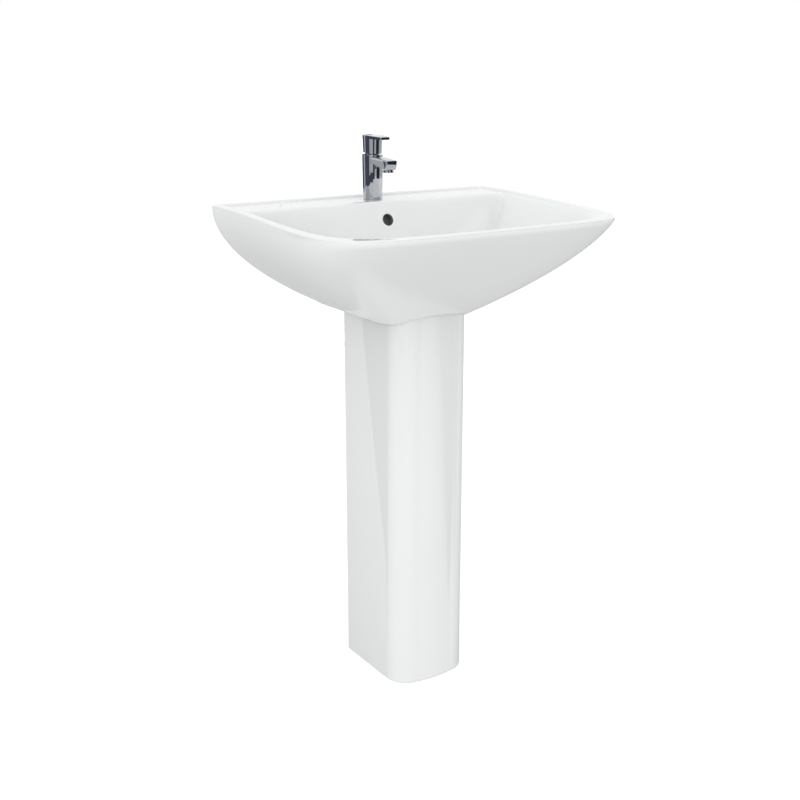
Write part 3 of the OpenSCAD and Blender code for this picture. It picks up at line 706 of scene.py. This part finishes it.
def overflow_lip(s):
    """Low rounded rim around the overflow hole."""
    inside, width, rise, root = s.overflow_radius - 1 * MM, 4.6 * MM, 0.8 * MM, -5 * MM
    crown = [(inside + width - width * math.cos(math.pi * i / 16),
              rise * math.sin(math.pi * i / 16)) for i in range(17)]
    return spin_profile([(inside, root)] + crown + [(inside + 2 * width, root), (inside, root)],
                        72)


def mark_clay_and_painted_shade(basin, spot, normal):
    """Gives the faces inside the overflow their unglazed clay tone, dark enough to be painted
    shade of the channel.
    """
    basin.data.materials.append(materials["clay_and_painted_shade"])
    for poly in basin.data.polygons:
        away = Vector(poly.center) - spot
        depth = -away.dot(normal)
        aside = (away + normal * depth).length
        # Faces down the channel get the clay tone that carries its painted shade
        if 2.2 * MM < depth < 30 * MM and aside < 24 * MM:
            poly.material_index = 1


class BASIN_OT_bowl(bpy.types.Operator):
    """Builds the glazed basin"""

    bl_idname = "basin.bowl"
    bl_label = "Basin"

    def execute(self, context):
        s = context.scene.basin_settings
        basin = to_object("Basin", basin_shell(s), GLAZE_CREASE)
        spot, normal = back_slope(s, RIM_Z - s.overflow_drop)
        into = Matrix.Translation(spot) @ normal.to_track_quat("Z", "Y").to_matrix().to_4x4()
        lip = overflow_lip(s)
        place(lip, into)
        boolean(basin, lip, GLAZE_CREASE, "UNION")
        pocket = pedestal_plan(context.scene.pedestal_settings, POCKET_GAP)
        cutters = [
            prism(pocket, HULL_FLOOR_Z - 20 * MM, POCKET_Z),
            recess_bm(s),
            duct_bm(),
            bar(TAP_HOLE, 60 * MM, Matrix.Translation((0, TAP.y, DECK_Z - 30 * MM))),
            bar(WASTE_HOLE, 60 * MM, Matrix.Translation((0, WASTE.y, BOWL_FLOOR_Z - 50 * MM))),
            bar(s.overflow_radius, 24 * MM, into @ Matrix.Translation((0, 0, -14 * MM)), 72),
        ]
        cutters += [bar(STUD_HOLE, 22 * MM,
                        facing_front(side * STUD_SIDE, WALL_Y + 1 * MM, RIM_Z - STUD_DROP))
                    for side in (-1, 1)]
        for cutter in cutters:
            boolean(basin, cutter, GLAZE_CREASE)
        finish_piece(basin, FIXED, "glazed_ceramic", "basin")
        mark_clay_and_painted_shade(basin, spot, normal)
        return {"FINISHED"}


# ---------- Pedestal ----------


LUG_SIDE, LUG_FROM_BACK = 50 * MM, 22 * MM
LUG_HALF_X, LUG_HALF_Y, LUG_HEIGHT = 14 * MM, 15 * MM, 16 * MM
SCREW_HOLE = 3.5 * MM


class BASIN_OT_pedestal(bpy.types.Operator):
    """Builds the pedestal"""

    bl_idname = "basin.pedestal"
    bl_label = "Pedestal"

    def execute(self, context):
        s = context.scene.pedestal_settings
        top, back = high("pedestal")[2], high("pedestal")[1]
        outer = pedestal_plan(s, 0)
        inner = pedestal_plan(s, -s.wall)
        inner[0] = (inner[0][0], back)
        inner[-1] = (inner[-1][0], back)
        bm = prism(outer + list(reversed(inner)), 0, top)
        bevel(bm, sharp_edges(bm, GLAZE_CREASE), s.edge, 4)
        pedestal = to_object("Pedestal", bm, GLAZE_CREASE)
        y = back - LUG_FROM_BACK
        for side in (-1, 1):
            x = side * LUG_SIDE
            lug = prism([(x + i * LUG_HALF_X, y + j * LUG_HALF_Y)
                         for i, j in ((-1, -1), (1, -1), (1, 1), (-1, 1))], 0, LUG_HEIGHT)
            hole = bar(SCREW_HOLE, 30 * MM, Matrix.Translation((x, y, -5 * MM)))
            boolean(pedestal, lug, GLAZE_CREASE, "UNION")
            boolean(pedestal, hole, GLAZE_CREASE)
        finish_piece(pedestal, FIXED, "glazed_ceramic", "pedestal")
        return {"FINISHED"}


# ---------- Tap ----------


METAL_CREASE = 34
CUP_RADIUS, CUP_DEPTH = 14.5 * MM, 12 * MM
CARTRIDGE_CLEARANCE = 0.01 * MM
SEAL_RECESS = 15.4 * MM
AERATOR_SEAT = 8.4 * MM
SPOUT_DROP = 23.8 * MM


def spout_bm(s):
    """Spout that deepens towards its outlet, with rounded edges."""
    tip_y = low("tap_body")[1]
    floor = SHOULDER_Z - SPOUT_DROP
    w = s.spout_width / 2
    bm = bmesh.new()
    bmesh.ops.create_cube(bm, size=1)
    for v in bm.verts:
        side = 1 if v.co.x > 0 else -1
        if v.co.y > 0:
            fall = (1.3 if v.co.z > 0 else 12) * MM
            v.co = Vector((side * w, TAP.y - 3 * MM, SHOULDER_Z - fall))
        elif v.co.z > 0:
            v.co = Vector((side * (w - 0.5 * MM), tip_y, floor + 17 * MM))
        else:
            v.co = Vector((side * (w - 0.5 * MM), tip_y + 4 * MM, floor))
    bevel(bm, list(bm.edges), 3 * MM, 6)
    return bm


class BASIN_OT_tap_body(bpy.types.Operator):
    """Builds the tap body with its spout"""

    bl_idname = "basin.tap_body"
    bl_label = "Tap body"

    def execute(self, context):
        s = context.scene.tap_settings
        base, top = low("tap_body")[2], SHOULDER_Z
        cup_floor = top - CUP_DEPTH
        outer = rounded([(0.001, base), (s.base_radius, base), (s.shoulder_radius, top),
                         (CUP_RADIUS, top), (CUP_RADIUS, cup_floor), (0.001, cup_floor)],
                        0.9 * MM, 6)
        bm = spin_profile([(0, base)] + outer[1:-1] + [(0, cup_floor)])
        place(bm, Matrix.Translation(TAP))
        body = to_object("TapBody", bm, METAL_CREASE)
        boolean(body, spout_bm(s), METAL_CREASE, "UNION")
        seal_top = high("tap_base_seal")[2]
        aerator = centre("aerator_ring")
        for radius, length, segments, y, z in (
                (SEAL_RECESS, 12 * MM, 96, TAP.y, seal_top - 12 * MM),
                (CUP_RADIUS - CARTRIDGE_CLEARANCE, 40 * MM, 128, TAP.y, cup_floor),
                (AERATOR_SEAT, 9 * MM, 64, aerator.y, SHOULDER_Z - SPOUT_DROP - 1 * MM)):
            hole = bar(radius, length, Matrix.Translation((0, y, z)), segments)
            boolean(body, hole, METAL_CREASE)
        finish_piece(body, FIXED, "chrome_plate", "tap_body")
        return {"FINISHED"}


LEVER_FOOT = 4.2 * MM
LEVER_FOOT_RADIUS, LEVER_TOP_RADIUS, LEVER_CAP_RADIUS = 15.9 * MM, 16.75 * MM, 17.1 * MM
LEVER_BORE = 13.4 * MM
LEVER_TILT = 7.5


def blade_bm(top, tip_y):
    """Flat blade that runs from the handle's round cap to its narrow tip."""
    bm = bmesh.new()
    cap = [Vector((x, TAP.y + y, top - 5.5 * MM))
           for x, y in arc(0, 0, LEVER_CAP_RADIUS, 0, 360, 96)[:-1]]
    tip = [Vector((x, y, top - 6.3 * MM)) for side in (-1, 1)
           for x, y in arc(side * 7 * MM, tip_y + 3 * MM, 3 * MM, 0, 360, 32)[:-1]]
    rise = Vector((0, 0, 1))
    for p in cap + tip + [p + rise * 5.5 * MM for p in cap] + [p + rise * 4.3 * MM for p in tip]:
        bm.verts.new(p)
    made = bmesh.ops.convex_hull(bm, input=bm.verts)
    spare = {g for g in made["geom_interior"] + made["geom_unused"]
             if isinstance(g, bmesh.types.BMVert)}
    bmesh.ops.delete(bm, geom=list(spare), context="VERTS")
    bmesh.ops.dissolve_limit(bm, angle_limit=math.radians(1), verts=bm.verts, edges=bm.edges)
    bevel(bm, sharp_edges(bm, 50), 0.8 * MM, 4)
    return bm


class BASIN_OT_lever(bpy.types.Operator):
    """Builds the lever handle with its blade"""

    bl_idname = "basin.lever"
    bl_label = "Lever"

    def execute(self, context):
        top = high("lever_handle")[2]
        foot, cap_z = PIVOT_Z - LEVER_FOOT, top - 4.5 * MM
        cap = spin_profile(rounded([(0, foot), (LEVER_FOOT_RADIUS, foot),
                                    (LEVER_TOP_RADIUS, cap_z), (0, cap_z)], 0.01 * MM, 1))
        place(cap, Matrix.Translation(TAP))
        handle = to_object("LeverHandle", cap, METAL_CREASE)
        boolean(handle, blade_bm(top, low("lever_handle")[1]), METAL_CREASE, "UNION")
        bore = Matrix.Translation((0, TAP.y, PIVOT_Z - 20 * MM))
        boolean(handle, bar(LEVER_BORE, 33.3 * MM, bore, 96), METAL_CREASE)
        slab = bmesh.new()
        bmesh.ops.create_cube(slab, size=60 * MM)
        place(slab, Matrix.Translation((0, TAP.y, PIVOT_Z - 2.2 * MM))
              @ Euler((math.radians(LEVER_TILT), 0, 0)).to_matrix().to_4x4()
              @ Matrix.Translation((0, 0, -30 * MM)))
        boolean(handle, slab, METAL_CREASE)
        finish_piece(handle, "lever", "chrome_plate", "lever_handle")
        return {"FINISHED"}


# ---------- Waste ----------


# Dome and edge of the plug: radius and fall from its top in mm
PLUG_DOME = (0.01, 6, 12, 18, 23, 27, 28.6)
PLUG_DOME_FALL, PLUG_DOME_REACH = 1.8 * MM, 29.2
PLUG_EDGE = ((29.3, 2.1), (29.8, 2.6), (29.9, 3.2), (29.4, 4))
PLUG_STEM = 4 * MM


class BASIN_OT_plug(bpy.types.Operator):
    """Builds the domed plug with its stem"""

    bl_idname = "basin.plug"
    bl_label = "Plug"

    def execute(self, context):
        top, bottom = high("waste_plug")[2], low("waste_plug")[2]
        dome = [(r * MM, top - PLUG_DOME_FALL * (r / PLUG_DOME_REACH) ** 2) for r in PLUG_DOME]
        edge = [(r * MM, top - fall * MM) for r, fall in PLUG_EDGE]
        stem = [(PLUG_STEM, edge[-1][1]), (PLUG_STEM, bottom), (0.01 * MM, bottom)]
        bm = spin_profile(dome + edge + stem)
        place(bm, Matrix.Translation(WASTE))
        finish_piece(to_object("WastePlug", bm), "plug", "chrome_plate", "waste_plug")
        return {"FINISHED"}


# ---------- Carried-over pieces ----------


class BASIN_OT_fittings(bpy.types.Operator):
    """Gives every carried-over fitting its finish"""

    bl_idname = "basin.fittings"
    bl_label = "Fittings"

    def execute(self, context):
        slots = {row["node"]: row["material_slot"] for row in frame["record"]["subparts"]}
        for name, node in frame["nodes"].items():
            node.data.materials.clear()
            node.data.materials.append(materials[slots[name]])
        return {"FINISHED"}


# ---------- Stage ----------


# Cards round the tap: start and stop angle from the camera's side, distance from the tap's axis,
# bottom and top over the deck (all in mm), tone
CARDS = ((-178, -92, 34, 16, 112, 0.05), (-90, -34, 160, 1, 240, 0.09),
         (-34, 6, 160, 5, 27, 0.08), (6, 24, 160, 12, 240, 0.05), (44, 84, 160, 14, 240, 0.03))
CARD_STEPS = 12
CARD_TINT = (0.8, 0.9, 1.25)

SUN_ANGLE = 70
KEY_WAY = (0.58, 0.72, -0.42)
REFLECTOR_WAY = (0.50, 0.64, 0.58)

DOME_WHITE, SEEN_WHITE = (0.96, 0.965, 0.97), (1.0, 1.0, 1.0)
ROOM_DARK, ROOM_LIGHT, ROOM_ABOVE = (0.05, 0.06, 0.1), (0.96, 0.97, 0.98), (0.8, 0.83, 0.88)

FLOOR_RADIUS = 40
FLOOR_SEEN, FLOOR_GLOW = 0.99, 0.2
BLACK, WHITE = (0, 0, 0), (1, 1, 1)


def dark_card(toward, start, stop, away, bottom, top, tone):
    """Curved card that only mirror rays see, and only from its inner side."""
    angle = math.atan2(toward.y, toward.x) + math.radians(start)
    at = TAP.xy + Vector((math.cos(angle), math.sin(angle))) * away * MM
    bm = bmesh.new()
    ends = [bm.verts.new((at.x, at.y, DECK_Z + height * MM)) for height in (top, bottom)]
    bmesh.ops.spin(bm, geom=[*ends, bm.edges.new(ends)], cent=TAP, axis=(0, 0, 1),
                   angle=math.radians(stop - start), steps=CARD_STEPS)
    card = to_object("Card", bm)
    material = bpy.data.materials.new("card")
    start_at = empty_tree(material)
    inside = start_at.out(start_at.node("ShaderNodeNewGeometry"), "Backfacing")
    clear = inside.out(inside.node("ShaderNodeBsdfTransparent"))
    colour = [tone * share for share in CARD_TINT]
    dim = inside.out(inside.node("ShaderNodeEmission", Color=(*colour, 1), Strength=1.0))
    both = inside.node("ShaderNodeMixShader", Fac=inside, _1=clear, _2=dim)
    inside.node("ShaderNodeOutputMaterial", Surface=inside.out(both))
    card.data.materials.append(material)
    card.visible_camera = False
    card.visible_diffuse = False
    card.visible_shadow = False
    return card


def light_path(at, ray):
    return at.out(at.node("ShaderNodeLightPath"), ray)


def studio_world(aim):
    """Even white dome for light, with a dim room behind the camera for polish to mirror."""
    world = bpy.data.worlds.new("studio")
    start = empty_tree(world)
    at = start.out(start.node("ShaderNodeTexCoord"), "Generated")
    turned = at.out(at.node("ShaderNodeVectorMath", {"operation": "DOT_PRODUCT"},
                            _0=at, _1=aim), 1)
    height = at.out(at.node("ShaderNodeSeparateXYZ", Vector=at), 2)
    behind = at.out(at.node("ShaderNodeMapRange", {"interpolation_type": "SMOOTHSTEP"},
                            Value=turned, From_Min=-0.35, From_Max=0.55))
    above = at.out(at.node("ShaderNodeMapRange", {"interpolation_type": "SMOOTHSTEP"},
                           Value=height, From_Min=0.35, From_Max=0.8))
    room = at.node("ShaderNodeMix", {"data_type": "RGBA"}, _0=above,
                   A=two_tone(at, behind, ROOM_DARK, ROOM_LIGHT), B=(*ROOM_ABOVE, 1))
    white = two_tone(at, light_path(at, "Is Camera Ray"), DOME_WHITE, SEEN_WHITE)
    dome = at.out(at.node("ShaderNodeBackground", Color=white, Strength=1.0))
    studio = at.out(at.node("ShaderNodeBackground", Color=at.out(room, "Result"), Strength=1.0))
    both = at.node("ShaderNodeMixShader", Fac=light_path(at, "Is Glossy Ray"), _1=dome, _2=studio)
    at.node("ShaderNodeOutputWorld", Surface=at.out(both))
    bpy.context.scene.world = world


def studio_floor(s):
    """Pale floor, brighter to the camera than to the basin."""
    bm = bmesh.new()
    bmesh.ops.create_circle(bm, cap_ends=True, radius=FLOOR_RADIUS, segments=96)
    floor = to_object("Floor", bm)
    material, shader, at = new_material("pale_floor")
    seen = light_path(at, "Is Camera Ray")
    tone = noise(at, 1.5, 2.0) * 0.01 + s.floor_bounce + seen * (FLOOR_SEEN - s.floor_bounce)
    at.feed(shader, Base_Color=two_tone(at, tone, BLACK, tuple(s.floor)), Roughness=0.7,
            Specular_IOR_Level=0.0, Emission_Color=two_tone(at, seen, BLACK, WHITE),
            Emission_Strength=FLOOR_GLOW)
    floor.data.materials.append(material)
    floor.visible_shadow = False
    return floor


def soft_sun(name, strength, way):
    """Wide sun that shines along a direction."""
    sun = bpy.data.lights.new(name, "SUN")
    sun.energy = strength
    sun.angle = math.radians(SUN_ANGLE)
    light = bpy.data.objects.new(name, sun)
    light.rotation_euler = Vector(way).to_track_quat("-Z", "Y").to_euler()
    bpy.context.scene.collection.objects.link(light)


def set_camera(lens, stand, aim):
    """Camera that stands at a place and looks at another."""
    data = bpy.data.cameras.new("camera")
    data.sensor_width = 36.0
    data.lens = lens
    data.clip_start, data.clip_end = 0.05, 120
    camera = bpy.data.objects.new("camera", data)
    camera.location = stand
    camera.rotation_euler = (aim - stand).to_track_quat("-Z", "Y").to_euler()
    bpy.context.scene.collection.objects.link(camera)
    bpy.context.scene.camera = camera


class BASIN_OT_stage(bpy.types.Operator):
    """Builds the floor, lights and camera"""

    bl_idname = "basin.stage"
    bl_label = "Stage"

    def execute(self, context):
        s = context.scene.stage_settings
        stand, aim = Vector(s.camera_place), Vector(s.camera_aim)
        toward = (stand - aim).xy.normalized()
        floor = studio_floor(s)
        studio_world(-toward.to_3d())
        soft_sun("key", s.key_strength, KEY_WAY)
        soft_sun("reflector", s.reflector_strength, REFLECTOR_WAY)
        for card in CARDS:
            dark_card(toward, *card)
        set_camera(s.lens, stand, aim)
        context.scene.view_settings.view_transform = "Standard"
        return {"FINISHED"}


class BASIN_PT_panel(bpy.types.Panel):
    """Lists the basin's pieces and sizes"""

    bl_idname = "BASIN_PT_panel"
    bl_label = "Pedestal basin"
    bl_space_type = "VIEW_3D"
    bl_region_type = "UI"
    bl_category = "Basin"

    def draw(self, context):
        for step in STEPS:
            self.layout.operator(step.bl_idname)
        for group in ("basin_settings", "pedestal_settings", "tap_settings", "stage_settings"):
            settings = getattr(context.scene, group)
            box = self.layout.box()
            for name in settings.__annotations__:
                box.prop(settings, name)


SETTINGS = {"basin_settings": BasinSettings, "pedestal_settings": PedestalSettings,
            "tap_settings": TapSettings, "stage_settings": StageSettings}
STEPS = (BASIN_OT_fittings, BASIN_OT_bowl, BASIN_OT_pedestal, BASIN_OT_tap_body, BASIN_OT_lever,
         BASIN_OT_plug, BASIN_OT_stage)


def register():
    for group in SETTINGS.values():
        bpy.utils.register_class(group)
    for name, group in SETTINGS.items():
        setattr(bpy.types.Scene, name, bpy.props.PointerProperty(type=group))
    for step in STEPS:
        bpy.utils.register_class(step)
    bpy.utils.register_class(BASIN_PT_panel)


def unregister():
    bpy.utils.unregister_class(BASIN_PT_panel)
    for step in reversed(STEPS):
        bpy.utils.unregister_class(step)
    for name, group in SETTINGS.items():
        delattr(bpy.types.Scene, name)
        bpy.utils.unregister_class(group)


def main():
    register()
    make_materials()
    bpy.ops.basin.fittings()
    bpy.ops.basin.bowl()
    bpy.ops.basin.pedestal()
    bpy.ops.basin.tap_body()
    bpy.ops.basin.lever()
    bpy.ops.basin.plug()
    bpy.ops.basin.stage()


if __name__ == "__main__":
    main()
